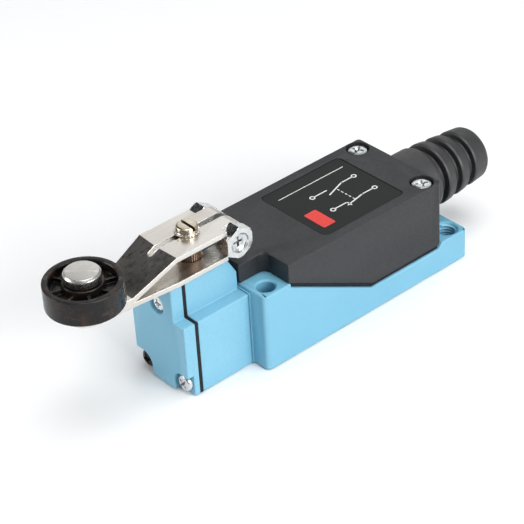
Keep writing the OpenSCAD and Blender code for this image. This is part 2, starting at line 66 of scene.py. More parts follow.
class Graph:
    """A material's node tree, with the few nodes that every finish here is made of."""

    def __init__(self, name, metallic=0.0, ior=1.5, spec=0.5, coat=0.0, coat_rough=0.1, sheen=0.0, aniso=0.0):
        self.mat = bpy.data.materials.new(name)
        self.mat.use_nodes = True
        self.t = self.mat.node_tree
        self.t.nodes.clear()
        self.out = self.t.nodes.new("ShaderNodeOutputMaterial")
        self.bsdf = self.t.nodes.new("ShaderNodeBsdfPrincipled")
        self.t.links.new(self.bsdf.outputs["BSDF"], self.out.inputs["Surface"])
        b = self.bsdf.inputs
        b["Metallic"].default_value = metallic
        b["IOR"].default_value = ior
        b["Specular IOR Level"].default_value = spec
        b["Coat Weight"].default_value = coat
        b["Coat Roughness"].default_value = coat_rough
        b["Sheen Weight"].default_value = sheen
        b["Anisotropic"].default_value = aniso
        self.coord = self.t.nodes.new("ShaderNodeTexCoord")

    def link(self, a, b):
        self.t.links.new(a, b)

    def mapped(self, scale=(1, 1, 1), rot=(0, 0, 0)):
        m = self.t.nodes.new("ShaderNodeMapping")
        m.inputs["Scale"].default_value = scale
        m.inputs["Rotation"].default_value = rot
        self.link(self.coord.outputs["Object"], m.inputs["Vector"])
        return m.outputs["Vector"]

    def noise(self, scale, detail=4.0, rough=0.55, vec=None, distort=0.0):
        """scale is features per metre."""
        n = self.t.nodes.new("ShaderNodeTexNoise")
        n.inputs["Scale"].default_value = scale
        n.inputs["Detail"].default_value = detail
        n.inputs["Roughness"].default_value = rough
        n.inputs["Distortion"].default_value = distort
        self.link(vec or self.coord.outputs["Object"], n.inputs["Vector"])
        return n.outputs["Fac"]

    def voronoi(self, scale, vec=None, feature="F1"):
        n = self.t.nodes.new("ShaderNodeTexVoronoi")
        n.feature = feature
        n.inputs["Scale"].default_value = scale
        self.link(vec or self.coord.outputs["Object"], n.inputs["Vector"])
        return n.outputs["Distance"]

    def remap(self, fac, a, b, lo, hi):
        n = self.t.nodes.new("ShaderNodeMapRange")
        n.inputs["From Min"].default_value = a
        n.inputs["From Max"].default_value = b
        n.inputs["To Min"].default_value = lo
        n.inputs["To Max"].default_value = hi
        self.link(fac, n.inputs["Value"])
        return n.outputs["Result"]

    def math(self, op, a, b):
        n = self.t.nodes.new("ShaderNodeMath")
        n.operation = op
        for i, v in enumerate((a, b)):
            if isinstance(v, (int, float)):
                n.inputs[i].default_value = v
            else:
                self.link(v, n.inputs[i])
        return n.outputs["Value"]

    def mix(self, fac, a, b):
        """Colour mix; a and b are colours or sockets."""
        n = self.t.nodes.new("ShaderNodeMix")
        n.data_type = "RGBA"
        for key, v in (("A", a), ("B", b)):
            s = [i for i in n.inputs if i.name == key and i.type == "RGBA"][0]
            if isinstance(v, tuple):
                s.default_value = v
            else:
                self.link(v, s)
        self.link(fac, [i for i in n.inputs if i.name == "Factor" and i.type == "VALUE"][0])
        return [o for o in n.outputs if o.type == "RGBA"][0]

    def edges(self, lo=0.52, hi=0.60):
        """0 on flats and 1 on convex edges."""
        g = self.t.nodes.new("ShaderNodeNewGeometry")
        return self.remap(g.outputs["Pointiness"], lo, hi, 0.0, 1.0)

    def bump(self, height, strength, dist, prev=None):
        n = self.t.nodes.new("ShaderNodeBump")
        n.inputs["Strength"].default_value = strength
        n.inputs["Distance"].default_value = dist
        self.link(height, n.inputs["Height"])
        if prev is not None:
            self.link(prev, n.inputs["Normal"])
        return n.outputs["Normal"]

    def done(self, color=None, rough=None, normal=None):
        if color is not None:
            self.link(color, self.bsdf.inputs["Base Color"])
        if rough is not None:
            self.link(rough, self.bsdf.inputs["Roughness"])
        if normal is not None:
            self.link(normal, self.bsdf.inputs["Normal"])
        return self.mat


def enamel(name, base, light, dark):
    """Enamel on a die casting: faint orange peel, soft shade changes, paler edges that are part worn paint and part
    painted highlight, small dust specks.
    """
    g = Graph(name, ior=1.48, spec=0.45, coat=0.12, coat_rough=0.28)
    soft = g.remap(g.noise(95, 3), 0.35, 0.65, 0.0, 1.0)
    c = g.mix(g.math("MULTIPLY", soft, 0.35), base, dark)
    # paler convex edges: part worn paint, part painted highlight
    e = g.math("MULTIPLY", g.edges(0.515, 0.58), g.remap(g.noise(1400, 3), 0.3, 0.6, 0.55, 1.0))
    c = g.mix(g.math("MULTIPLY", e, 0.45), c, light)
    speck = g.remap(g.noise(5200, 2), 0.70, 0.78, 0.0, 0.5)
    c = g.mix(speck, c, dark)
    r = g.remap(g.noise(800, 4), 0.3, 0.7, 0.36, 0.50)
    n = g.bump(g.noise(1500, 2, 0.4), 0.16, 0.00008)
    n = g.bump(g.noise(6500, 3), 0.10, 0.00002, n)
    return g.done(c, r, n)


def moulded(name, base, light, rough=(0.45, 0.6), grain=4200, depth=0.00002, strength=0.5, spec=0.45, edge=0.5, coat=0.0):
    """Moulded plastic or rubber: fine spark-eroded grain, faint flow marks and paler edges, part rubbing and part
    painted highlight.
    """
    g = Graph(name, ior=1.5, spec=spec, coat=coat, coat_rough=0.2)
    flow = g.remap(g.noise(140, 3, 0.5, g.mapped((0.4, 1.0, 1.0))), 0.35, 0.65, 0.0, 0.35)
    c = g.mix(flow, base, light)
    # paler convex edges: part rubbing, part painted highlight
    e = g.math("MULTIPLY", g.edges(0.515, 0.58), g.remap(g.noise(1800, 3), 0.3, 0.65, 0.4, 1.0))
    c = g.mix(g.math("MULTIPLY", e, edge), c, light)
    r = g.remap(g.noise(grain * 0.35, 4), 0.3, 0.7, rough[0], rough[1])
    n = g.bump(g.noise(grain, 3, 0.6), strength, depth)
    n = g.bump(g.noise(420, 2), 0.10, 0.00012, n)
    return g.done(c, r, n)


def metal(name, base, dark, rough=(0.2, 0.35), streak=None, scale=900, strength=0.25, depth=0.00001, spots=0.0, spot_col=None, aniso=0.0, edge=0.0, painted_cavity_shade=0.0):
    """Plated or bare metal: brushing along streak, cloudy tarnish, small pits, bright edges that are part wear and part
    painted highlight, and painted shade in hollows.
    """
    g = Graph(name, metallic=1.0, aniso=aniso)
    v = g.mapped(streak) if streak else None
    fine = g.noise(scale, 5, 0.6, v)
    cloud = g.remap(g.noise(170, 4), 0.35, 0.68, 0.0, 1.0)
    c = g.mix(g.math("MULTIPLY", cloud, 0.45), base, dark)
    c = g.mix(g.remap(fine, 0.45, 0.75, 0.0, 0.35), c, dark)
    if spots:
        c = g.mix(g.remap(g.noise(2600, 3), 0.62, 0.72, 0.0, spots), c, spot_col or dark)
    if edge:
        # near-white convex edges: part wear, part painted highlight
        c = g.mix(g.math("MULTIPLY", g.edges(0.515, 0.57), edge), c, (0.92, 0.91, 0.89, 1))
    if painted_cavity_shade:
        # near-black hollows: painted shade
        c = g.mix(g.math("MULTIPLY", g.edges(0.485, 0.42), painted_cavity_shade), c, (0.012, 0.008, 0.006, 1))
    r = g.remap(g.math("ADD", g.math("MULTIPLY", fine, 0.7), g.math("MULTIPLY", g.noise(520, 3), 0.3)), 0.3, 0.7, rough[0], rough[1])
    n = g.bump(fine, strength, depth)
    n = g.bump(g.noise(3000, 3), 0.15, 0.000008, n)
    return g.done(c, r, n)


def printed(name, ink, under):
    """Screen print: slightly uneven ink."""
    g = Graph(name, spec=0.4)
    c = g.mix(g.remap(g.noise(3500, 4), 0.55, 0.8, 0.0, 0.35), ink, under)
    r = g.remap(g.noise(1500, 3), 0.3, 0.7, 0.42, 0.6)
    return g.done(c, r, g.bump(g.noise(5000, 2), 0.2, 0.000008))


def mottled(name):
    """Glossy black nylon with brownish wear marks, as on a used roller."""
    g = Graph(name, ior=1.45, spec=0.32)
    wear = g.remap(g.noise(330, 5, 0.62, g.mapped((1, 1, 1.6))), 0.50, 0.66, 0.0, 0.75)
    c = g.mix(wear, (0.006, 0.0055, 0.0055, 1), (0.040, 0.021, 0.013, 1))
    # paler convex edges: part wear, part painted highlight
    c = g.mix(g.math("MULTIPLY", g.edges(0.515, 0.57), 0.5), c, (0.06, 0.058, 0.056, 1))
    r = g.remap(g.noise(700, 4), 0.3, 0.7, 0.20, 0.34)
    n = g.bump(g.noise(900, 3), 0.25, 0.00002)
    return g.done(c, r, g.bump(g.noise(5000, 2), 0.1, 0.000008, n))


MATS = {
    "blue_casting": enamel("blue_enamel", (0.165, 0.43, 0.585, 1), (0.27, 0.54, 0.68, 1), (0.14, 0.39, 0.555, 1)),
    "black_rubber": moulded("black_rubber", (0.006, 0.007, 0.010, 1), (0.018, 0.019, 0.024, 1), (0.6, 0.78), 2600, 0.00002, 0.35, 0.25),
    "cover_plastic": moulded("cover_plastic", (0.017, 0.0175, 0.0195, 1), (0.040, 0.041, 0.045, 1), (0.42, 0.56), 3600, 0.000022, 0.55, 0.36, 0.7),
    "label": moulded("label_film", (0.014, 0.0155, 0.015, 1), (0.017, 0.018, 0.018, 1), (0.46, 0.56), 6000, 0.000008, 0.35, 0.16, 0.2),
    "zinc_screw": metal("zinc_plate", (0.72, 0.74, 0.75, 1), (0.48, 0.50, 0.51, 1), (0.16, 0.34), None, 1500, 0.3, 0.000015, 0.35, (0.45, 0.46, 0.42, 1), edge=0.4),
    "gland_rubber": moulded("gland_rubber", (0.016, 0.016, 0.017, 1), (0.040, 0.040, 0.042, 1), (0.42, 0.58), 2400, 0.00003, 0.45, 0.75, 0.6),
    "spring_steel": metal("spring_steel", (0.42, 0.42, 0.43, 1), (0.22, 0.21, 0.2, 1), (0.25, 0.42), None, 2500, 0.2),
    "black_screw": metal("black_oxide", (0.045, 0.044, 0.044, 1), (0.02, 0.018, 0.017, 1), (0.22, 0.4), None, 1800, 0.3, 0.00001, 0.4, (0.09, 0.06, 0.04, 1)),
    "bronze": metal("sintered_bronze", (0.56, 0.36, 0.17, 1), (0.32, 0.19, 0.09, 1), (0.38, 0.55), None, 3800, 0.5, 0.00002),
    "phenolic": moulded("phenolic", (0.035, 0.026, 0.02, 1), (0.07, 0.055, 0.04, 1), (0.35, 0.5), 1800, 0.00002, 0.4),
    "phenolic_lid": moulded("phenolic_lid", (0.07, 0.055, 0.043, 1), (0.12, 0.095, 0.075, 1), (0.35, 0.5), 1800, 0.00002, 0.4),
    "contact_brass": metal("contact_brass", (0.66, 0.46, 0.18, 1), (0.42, 0.27, 0.1, 1), (0.22, 0.38), (0.15, 1, 1), 1300, 0.25),
    "green_screw": metal("green_zinc", (0.12, 0.36, 0.17, 1), (0.07, 0.22, 0.1, 1), (0.22, 0.38), None, 1500, 0.25),
    # the shaft's serration hollows are darkened as painted shade
    "shaft_steel": metal("shaft_steel", (0.40, 0.30, 0.23, 1), (0.16, 0.11, 0.08, 1), (0.34, 0.5), (1, 1, 0.12), 1500, 0.35, 0.000012, 0.4, (0.14, 0.09, 0.06, 1), painted_cavity_shade=1.0),
    "sintered_steel": metal("sintered_steel", (0.38, 0.38, 0.39, 1), (0.2, 0.2, 0.2, 1), (0.4, 0.58), None, 4200, 0.5, 0.00002),
    "lever_nickel": metal("lever_nickel", (0.66, 0.62, 0.565, 1), (0.52, 0.485, 0.435, 1), (0.24, 0.36), (0.06, 1.0, 1.0), 1700, 0.22, 0.000012, 0.04, (0.42, 0.39, 0.34, 1), edge=0.5),
    "warm_nickel": metal("warm_nickel", (0.66, 0.58, 0.46, 1), (0.42, 0.35, 0.25, 1), (0.16, 0.3), None, 1500, 0.25, 0.00001, 0.3, (0.3, 0.22, 0.13, 1), edge=0.4),
    "pin_steel": metal("pin_steel", (0.66, 0.65, 0.62, 1), (0.48, 0.47, 0.44, 1), (0.22, 0.34), None, 1700, 0.2, 0.000008, 0.08, (0.3, 0.28, 0.25, 1), edge=0.35),
    "roller_nylon": mottled("roller_nylon"),
    "button_resin": moulded("button_resin", (0.62, 0.54, 0.38, 1), (0.72, 0.66, 0.5, 1), (0.4, 0.52), 2200, 0.00002, 0.35),
}
# darker metal for the faces inside the screw slot: painted shade in the slot
SLOT_SHADE = metal("slot_shade", (0.20, 0.15, 0.10, 1), (0.09, 0.065, 0.045, 1), (0.35, 0.5), None, 1800, 0.3, 0.00001, 0.4, (0.05, 0.035, 0.02, 1))
WHITE_INK = printed("white_ink", (0.72, 0.72, 0.71, 1), (0.35, 0.35, 0.35, 1))
RED_INK = printed("red_ink", (0.66, 0.045, 0.035, 1), (0.42, 0.03, 0.025, 1))

# ---------------------------------------------------------------- mesh tools


def finish_mesh(bm, name, mats, node=None, body=None, stands_for=(), angle=32, weighted=True):
    """Makes the object from a bmesh in metres, gives it its materials, shades it, ties it to its body and hides the CAD
    nodes that it stands for.
    """
    bmesh.ops.recalc_face_normals(bm, faces=bm.faces[:])
    me = bpy.data.meshes.new(name)
    bm.to_mesh(me)
    bm.free()
    for m in (mats if isinstance(mats, (list, tuple)) else [mats]):
        me.materials.append(m)
    me.polygons.foreach_set("use_smooth", [True] * len(me.polygons))
    if angle is not None:
        me.set_sharp_from_angle(angle=math.radians(angle))
    o = bpy.data.objects.new(name, me)
    bpy.context.scene.collection.objects.link(o)
    if weighted:
        w = o.modifiers.new("weighted", "WEIGHTED_NORMAL")
        w.keep_sharp = True
        w.weight = 60
    if node:
        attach(o, body or BODY[node])
        names = [node, *stands_for]
        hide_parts(*names)
    elif body:
        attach(o, body)
    return o


def cad_copy(node, dissolve=0.4):
    """A clean n-gon copy of a CAD node's mesh."""
    bm = bmesh.new()
    bm.from_mesh(NODES[node].data)
    bmesh.ops.remove_doubles(bm, verts=bm.verts[:], dist=1e-6)
    bmesh.ops.dissolve_limit(bm, angle_limit=math.radians(dissolve), verts=bm.verts[:], edges=bm.edges[:])
    return bm


def sharp_edges(bm, angle=25, test=None):
    out = []
    for e in bm.edges:
        if len(e.link_faces) == 2 and e.calc_face_angle(0.0) > math.radians(angle):
            if test is None or test(e):
                out.append(e)
    return out


def bevel(bm, edges, width, seg=3, clamp=True, profile=0.5):
    if edges:
        bmesh.ops.bevel(bm, geom=edges, offset=width * MM, offset_type="OFFSET", segments=seg, profile=profile,
                        affect="EDGES", clamp_overlap=clamp, miter_outer="SHARP", miter_inner="SHARP")


def bevelled(bm, name, width, seg=3, angle=25, weight=None, node=None, mats=None, clamp=False, shade=40):
    """Finishes a bmesh with its sharp edges rounded by width, in mm. weight(edge) may give an edge its own width, in mm, or 0."""
    layer = bm.edges.layers.float.new("bevel_weight_edge")
    widths = {}
    for e in sharp_edges(bm, angle):
        w = width if weight is None else weight(e)
        if w is None:
            w = width
        if w > 0:
            widths[e] = w
    top = max(widths.values()) if widths else width
    for e, w in widths.items():
        e[layer] = w / top
    for e in bm.edges:
        if e not in widths and len(e.link_faces) == 2 and math.radians(shade) < e.calc_face_angle(0.0):
            e.smooth = False
    o = finish_mesh(bm, name, mats or MATS[SLOT[node]], node, angle=None, weighted=False)
    m = o.modifiers.new("round", "BEVEL")
    m.limit_method = "WEIGHT"
    m.offset_type = "OFFSET"
    m.width = top * MM
    m.segments = seg
    m.profile = 0.5
    m.use_clamp_overlap = clamp
    m.miter_outer = "MITER_SHARP"
    o.modifiers.new("weld", "WELD").merge_threshold = 4e-6
    w = o.modifiers.new("flat", "WEIGHTED_NORMAL")
    w.mode = "FACE_AREA"
    w.weight = 100
    w.thresh = 0.0001
    w.keep_sharp = True
    return o


def halve(bm, cuts):
    """Adds edges across the mesh at these planes, each (axis, place in mm), so that no flat face has a hole in it."""
    for axis, at in cuts:
        no = Vector((axis == "x", axis == "y", axis == "z"))
        bmesh.ops.bisect_plane(bm, geom=bm.verts[:] + bm.edges[:] + bm.faces[:], dist=1e-7, plane_co=no * at * MM, plane_no=no)
    return bm


def refine(node, width, seg=3, angle=25, name=None, weight=None, mats=None, clamp=False):
    """The CAD node's shape with its sharp edges rounded."""
    return bevelled(cad_copy(node), name or node + "_part", width, seg, angle, weight, node, mats, clamp)


def rounded(pts, r, seg=4, closed=False):
    """Rounds the corners of a 2D line. r is one radius or one for each point."""
    n, out = len(pts), []
    for i, p in enumerate(pts):
        rad = r[i] if isinstance(r, (list, tuple)) else r
        if rad <= 0 or (not closed and i in (0, n - 1)):
            out.append(tuple(p))
            continue
        p, a, b = Vector(p), Vector(pts[i - 1]), Vector(pts[(i + 1) % n])
        u, v = a - p, b - p
        lu, lv = u.length, v.length
        if lu < 1e-9 or lv < 1e-9:
            out.append(tuple(p))
            continue
        u, v = u / lu, v / lv
        ang = u.angle(v)
        if ang > 3.12 or ang < 0.02:
            out.append(tuple(p))
            continue
        t = min(rad / math.tan(ang / 2), 0.48 * lu, 0.48 * lv)
        for k in range(seg + 1):
            s = k / seg
            q = (p + u * t) * (1 - s) ** 2 + p * 2 * s * (1 - s) + (p + v * t) * s ** 2
            out.append(tuple(q))
    return out


AXES = {
    "x": Matrix(((0, 0, 1), (0, 1, 0), (-1, 0, 0))),
    "-x": Matrix(((0, 0, -1), (0, 1, 0), (1, 0, 0))),
    "y": Matrix(((1, 0, 0), (0, 0, 1), (0, -1, 0))),
    "-y": Matrix(((1, 0, 0), (0, 0, -1), (0, 1, 0))),
    "z": Matrix.Identity(3),
}


def lathe(bm, profile, centre=(0, 0, 0), axis="z", seg=72, a0=0.0):
    """Revolves (r, h) points, in mm, about an axis through centre. Closes at r = 0, or back on itself if the profile is a ring."""
    m, c = AXES[axis], Vector(centre)
    ring_profile = profile[0][0] > 1e-6 and profile[-1][0] > 1e-6
    rows = []
    for r, h in profile:
        if r < 1e-6:
            rows.append([bm.verts.new((m @ Vector((0, 0, h)) + c) * MM)])
        else:
            rows.append([bm.verts.new((m @ Vector((r * math.cos(a0 + 2 * math.pi * k / seg), r * math.sin(a0 + 2 * math.pi * k / seg), h)) + c) * MM) for k in range(seg)])
    pairs = list(zip(rows, rows[1:]))
    if ring_profile:
        pairs.append((rows[-1], rows[0]))
    for a, b in pairs:
        for k in range(seg):
            k2 = (k + 1) % seg
            if len(a) == 1 and len(b) == 1:
                continue
            if len(a) == 1:
                bm.faces.new((a[0], b[k], b[k2]))
            elif len(b) == 1:
                bm.faces.new((a[k], b[0], a[k2]))
            else:
                bm.faces.new((a[k], b[k], b[k2], a[k2]))
    return bm


def prism(bm, pts, lo, hi, axis="z", centre=(0, 0, 0), top_scale=1.0):
    """Extrudes a closed 2D outline, in mm, from lo to hi along an axis."""
    m, c = AXES[axis], Vector(centre)
    bot = [bm.verts.new((m @ Vector((x, y, lo)) + c) * MM) for x, y in pts]
    top = [bm.verts.new((m @ Vector((x * top_scale, y * top_scale, hi)) + c) * MM) for x, y in pts]
    bm.faces.new(bot[::-1])
    bm.faces.new(top)
    n = len(pts)
    for i in range(n):
        bm.faces.new((bot[i], bot[(i + 1) % n], top[(i + 1) % n], top[i]))
    return bm


def as_object(bm, name="tmp"):
    bmesh.ops.recalc_face_normals(bm, faces=bm.faces[:])
    me = bpy.data.meshes.new(name)
    bm.to_mesh(me)
    bm.free()
    o = bpy.data.objects.new(name, me)
    bpy.context.scene.collection.objects.link(o)
    return o


def boolean(bm, cutter, op="DIFFERENCE"):
    """bm op cutter, both bmeshes; returns a new bmesh."""
    a, b = as_object(bm, "bool_a"), as_object(cutter, "bool_b")
    m = a.modifiers.new("b", "BOOLEAN")
    m.object, m.operation, m.solver = b, op, "EXACT"
    dg = bpy.context.evaluated_depsgraph_get()
    out = bmesh.new()
    ev = a.evaluated_get(dg)
    me = ev.to_mesh()
    out.from_mesh(me)
    ev.to_mesh_clear()
    for o in (a, b):
        me = o.data
        bpy.data.objects.remove(o)
        bpy.data.meshes.remove(me)
    bmesh.ops.remove_doubles(out, verts=out.verts[:], dist=1e-7)
    return out


def cross(a, b):
    """Plus-shaped outline with arms of half length a and half width b."""
    return [(a, -b), (a, b), (b, b), (b, a), (-b, a), (-b, b), (-a, b), (-a, -b), (-b, -b), (-b, -a), (b, -a), (b, -b)]


def phillips(name, node, places, axis, hr, hh, sr, sl, arm, wide, deep, turn=25, dome=0.25, mat=None):
    """Pan-head cross-recess screws with their threads. places are the under-head centres, in mm."""
    whole = bmesh.new()
    for i, p in enumerate(places):
        bm = bmesh.new()
        head = [(0, hh), (hr * 0.62, hh - dome * 0.25), (hr * 0.9, hh - dome), (hr, hh * 0.42), (hr, 0.0), (sr, 0.0)]
        head = rounded(head, [0, 1.0, 0.35, 0.3, 0.1, 0], 4)
        pitch = max(0.45, sr * 0.33)
        h, z = [], -0.35
        while z > -sl + pitch:
            h += [(sr, z), (sr, z - pitch * 0.12), (sr * 0.84, z - pitch * 0.5), (sr, z - pitch * 0.88)]
            z -= pitch
        shank = h + [(sr * 0.86, -sl + 0.3), (sr * 0.6, -sl), (0, -sl)]
        lathe(bm, head + shank, (0, 0, 0), "z", 64)
        cut = bmesh.new()
        prism(cut, cross(arm, wide), hh + 0.3, hh - deep, "z", (0, 0, 0), 0.55)
        bm = boolean(bm, cut)
        dimple = bmesh.new()
        lathe(dimple, [(0, hh - deep * 0.9), (wide * 2.0, hh - deep * 0.12), (wide * 2.3, hh + 0.5), (0, hh + 0.5)], (0, 0, 0), "z", 32)
        bm = boolean(bm, dimple)
        rim = [e for e in sharp_edges(bm, 35) if all(v.co.z > (hh - 0.55) * MM for v in e.verts) and all(v.co.xy.length < arm * 1.1 * MM for v in e.verts)]
        bevel(bm, rim, 0.05, 1)
        m = AXES[axis].to_4x4()
        m.translation = Vector(p) * MM
        m = m @ Matrix.Rotation(math.radians(turn + 37 * i), 4, "Z")
        bm.transform(m)
        me = bpy.data.meshes.new("t")
        bm.to_mesh(me)
        bm.free()
        whole.from_mesh(me)
        bpy.data.meshes.remove(me)
    return finish_mesh(whole, name, mat or MATS[SLOT[node]], node, angle=38)


# ---------------------------------------------------------------- pieces

SX, RX = 40.85, 69.05


def mid(e):
    return (e.verts[0].co + e.verts[1].co) / 2 / MM


def along(e):
    return (e.verts[1].co - e.verts[0].co).normalized()


def thread_ridge(bm, x, y, z0, z1, pitch=0.8, root=2.54, crest=2.13, step=24):
    """The ridge of an internal thread: a helix with a trapezoid section, closed at both ends."""
    turns = (z1 - z0) / pitch
    rows = []
    for i in range(int(turns * step) + 1):
        t = 2 * math.pi * i / step
        z = z0 + pitch * i / step
        c, s = math.cos(t), math.sin(t)
        rows.append([bm.verts.new(((x + r * c) * MM, (y + r * s) * MM, (z + d) * MM))
                     for r, d in ((root, -0.33), (crest, -0.06), (crest, 0.06), (root, 0.33))])
    for p, q in zip(rows, rows[1:]):
        for k in range(4):
            bm.faces.new((p[k], q[k], q[(k + 1) % 4], p[(k + 1) % 4]))
    bm.faces.new(rows[0])
    bm.faces.new(rows[-1][::-1])


def merge(bm, other):
    me = bpy.data.meshes.new("t")
    other.to_mesh(me)
    other.free()
    bm.from_mesh(me)
    bpy.data.meshes.remove(me)


# base: cast edges rounded, the two M5 holes opened to their full diameter
bm = cad_copy("base_housing")
for hx, hy, top in ((28.5, -10.5, 20.0), (-28.5, 10.5, 7.8)):
    cut = bmesh.new()
    lathe(cut, [(0, -1), (2.8, -1), (2.8, 0.0), (2.5, 0.4), (2.5, top - 0.42), (2.95, top + 0.02), (2.95, top + 1), (0, top + 1)], (hx, hy, 0), "z", 48)
    bm = boolean(bm, cut)


def base_weight(e):
    m = mid(e)
    for hx, hy in ((28.5, -10.5), (-28.5, 10.5), (28.5, 10.5), (-28.5, -10.5)):
        if math.hypot(m.x - hx, m.y - hy) < 3.1:
            return 0.12
    if m.z > 0.5 and abs(m.y) < 11.6 and -20.6 < m.x < 23.9:
        return 0.1
    if m.x > 31.9 and all(abs(v.co.y) < 9.7 * MM for v in e.verts):
        return 0.0
    return 0.42


near = [v for v in bm.verts if abs(v.co.x) > 30.3 * MM and abs(v.co.y) > 12.4 * MM]
bmesh.ops.remove_doubles(bm, verts=near, dist=0.12 * MM)
halve(bm, (("x", 28.5), ("x", -28.5), ("y", 0.0), ("y", 10.5), ("y", -10.5)))
bevelled(bm, "base_casting", 0.42, 3, 25, base_weight, "base_housing")
bm = bmesh.new()
thread_ridge(bm, 28.5, -10.5, 0.9, 19.2)
thread_ridge(bm, -28.5, 10.5, 0.9, 7.1)
finish_mesh(bm, "base_threads", MATS["blue_casting"], None, "housing", angle=30)

refine("head_housing", 0.32, 3, weight=lambda e: 0.1 if mid(e).x > 46.7 and abs(mid(e).y) < 8.9 and 0.2 < mid(e).z < 27.2 and not (18.5 < mid(e).z < 19.5 or abs(mid(e).y) > 5.5 and mid(e).z > 18.8) else None)
refine("head_cap", 0.34, 3, weight=lambda e: 0.12 if mid(e).x < 49.4 else None)
refine("head_gasket", 0.06, 2)
refine("cover_gasket", 0.12, 2, weight=lambda e: 0.04 if abs(mid(e).y) < 11.6 else None)


def cover_weight(e):
    m, d = mid(e), along(e)
    if abs(d.z) > 0.99 and abs(m.x - 24.5) < 0.05 and abs(abs(m.y) - 5.8) < 0.05 and m.z > 20:
        return 1.8
    if m.z < 24.0 and abs(m.y) < 11.7 and m.x > -21.4 and not (m.x > 24.4):
        return 0.08
    if m.z > 24.4 and abs(m.y) < 13.6 and -22.9 < m.x < 11.2:
        return 0.10
    return 0.30


bevelled(halve(cad_copy("cover"), (("x", -20.0), ("x", -1.6), ("y", 0.0))), "cover_shell", 0.30, 3, 25, cover_weight, "cover")

# label plate and its plain contact diagram
refine("label_plate", 0.06, 2)


def stroke(bm, x0, y0, x1, y1, w, z0=24.845, z1=24.872):
    d = Vector((x1 - x0, y1 - y0))
    if d.length < 1e-6:
        return
    a0 = math.atan2(d.y, d.x)
    pts = [(x1 + w / 2 * math.cos(a0 - math.pi / 2 + math.pi * k / 6), y1 + w / 2 * math.sin(a0 - math.pi / 2 + math.pi * k / 6)) for k in range(7)]
    pts += [(x0 + w / 2 * math.cos(a0 + math.pi / 2 + math.pi * k / 6), y0 + w / 2 * math.sin(a0 + math.pi / 2 + math.pi * k / 6)) for k in range(7)]
    prism(bm, pts, z0, z1)


def dot_ring(bm, x, y, ro, ri):
    lathe(bm, [(ri, 24.845), (ro, 24.845), (ro, 24.872), (ri, 24.872)], (x, y, 0), "z", 32)


bm = bmesh.new()
for y0, made in ((4.4, True), (-2.6, False)):
    dot_ring(bm, -11.0, y0, 0.72, 0.42)
    stroke(bm, -10.25, y0, -7.0, y0, 0.34)
    stroke(bm, -7.0, y0, -1.6, y0 + (1.05 if made else 1.9), 0.36)
    stroke(bm, -2.2, y0, 1.4, y0, 0.34)
    if made:
        stroke(bm, -2.2, y0, -2.2, y0 + 1.5, 0.34)
    dot_ring(bm, 2.15, y0, 0.72, 0.42)
for k in range(5):
    stroke(bm, -4.4, -1.15 + 1.3 * k, -4.4, -0.55 + 1.3 * k, 0.24)
stroke(bm, -11.9, -7.4, 8.2, -7.4, 0.22)
finish_mesh(bm, "label_diagram", WHITE_INK, None, "housing", angle=30, weighted=False)
bm = bmesh.new()
prism(bm, rounded([(5.0, 1.4), (8.6, 1.4), (8.6, 8.4), (5.0, 8.4)], [0.5] * 4, 4, True), 24.845, 24.872)
finish_mesh(bm, "label_field", RED_INK, None, "housing", angle=30, weighted=False)

# cable gland
G = [(4.4, 19), (6.5, 19), (6.5, 21.15), (5.6, 21.15), (5.6, 23.45), (8.15, 23.45), (8.15, 29.5), (7.85, 30.35), (6.1, 30.4), (6.1, 32.4),
     (7.75, 32.45), (7.92, 33.0), (7.72, 35.1), (5.9, 35.2), (5.9, 37.3), (7.35, 37.35), (7.52, 37.9), (7.3, 40.0),
     (5.6, 40.1), (5.6, 42.2), (6.95, 42.25), (7.12, 42.8), (6.75, 46.5), (6.2, 47.4), (4.4, 47.4)]
R = [0.2, 0.2, 0.1, 0.1, 0.1, 0.35, 0.9, 0.45, 0.4, 0.4, 0.35, 0.5, 0.45, 0.4, 0.4, 0.35, 0.5, 0.45, 0.4, 0.4, 0.35, 0.5, 0.9, 0.5, 0.5]
finish_mesh(lathe(bmesh.new(), rounded(G, R, 5, True), (0, 0, 16.5), "-x", 96), "ribbed_gland", MATS["gland_rubber"], "cable_gland", angle=60)

# lever: pressed sheet with slightly rounded cut edges
bm = cad_copy("lever")
near = [v for v in bm.verts if 48.9 * MM < v.co.x < 49.45 * MM]
bmesh.ops.remove_doubles(bm, verts=near, dist=0.35 * MM)
bmesh.ops.dissolve_limit(bm, angle_limit=math.radians(0.6), verts=bm.verts[:], edges=bm.edges[:])
bevelled(bm, "pressed_lever", 0.10, 2, 22, None, "lever")

# shaft: turned bar with a serrated end that the lever grips
bm = bmesh.new()
lathe(bm, [(0, 2.0), (2.7, 2.0), (2.9, 2.2), (2.9, 5.0), (2.45, 5.0), (2.45, 5.5), (2.9, 5.5), (2.9, 27.9), (0, 27.9)], (SX, 0, 0), "z", 64)
pts = []
for k in range(36):
    for da, rr in ((0.0, 2.55), (2.2, 2.62), (3.9, 2.87), (6.1, 2.87), (7.8, 2.62)):
        t = math.radians(k * 10 + da)
        pts.append((SX + rr * math.cos(t), rr * math.sin(t)))
top = bmesh.new()
prism(top, pts, 27.6, max(v.co.z for v in NODES["shaft"].data.vertices) / MM)
bm = boolean(bm, top, "UNION")
bevelled(bm, "serrated_shaft", 0.0, 1, 180, None, "shaft")

# slotted screw
bm = bmesh.new()
lathe(bm, rounded([(0, 1.35), (2.1, 1.35), (2.45, 1.1), (2.45, 0.0), (1.5, 0.0), (1.5, -7.0), (0, -7.0)], [0, 0.6, 0.4, 0.12, 0.1, 0.3, 0], 4), (SX, 0, 36.15), "z", 72)
cut = bmesh.new()
prism(cut, [(SX - 0.36, -4), (SX + 0.36, -4), (SX + 0.36, 4), (SX - 0.36, 4)], 36.72, 38.5)
bm = boolean(bm, cut)
# faces inside the slot take the darker metal as painted shade
for f in bm.faces:
    c = f.calc_center_median() / MM
    if abs(c.x - SX) < 0.37 and c.z > 36.6 and c.z < 37.46:
        f.material_index = 1
finish_mesh(bm, "slotted_screw", [MATS["warm_nickel"], SLOT_SHADE], "lever_screw", angle=35, weighted=False)

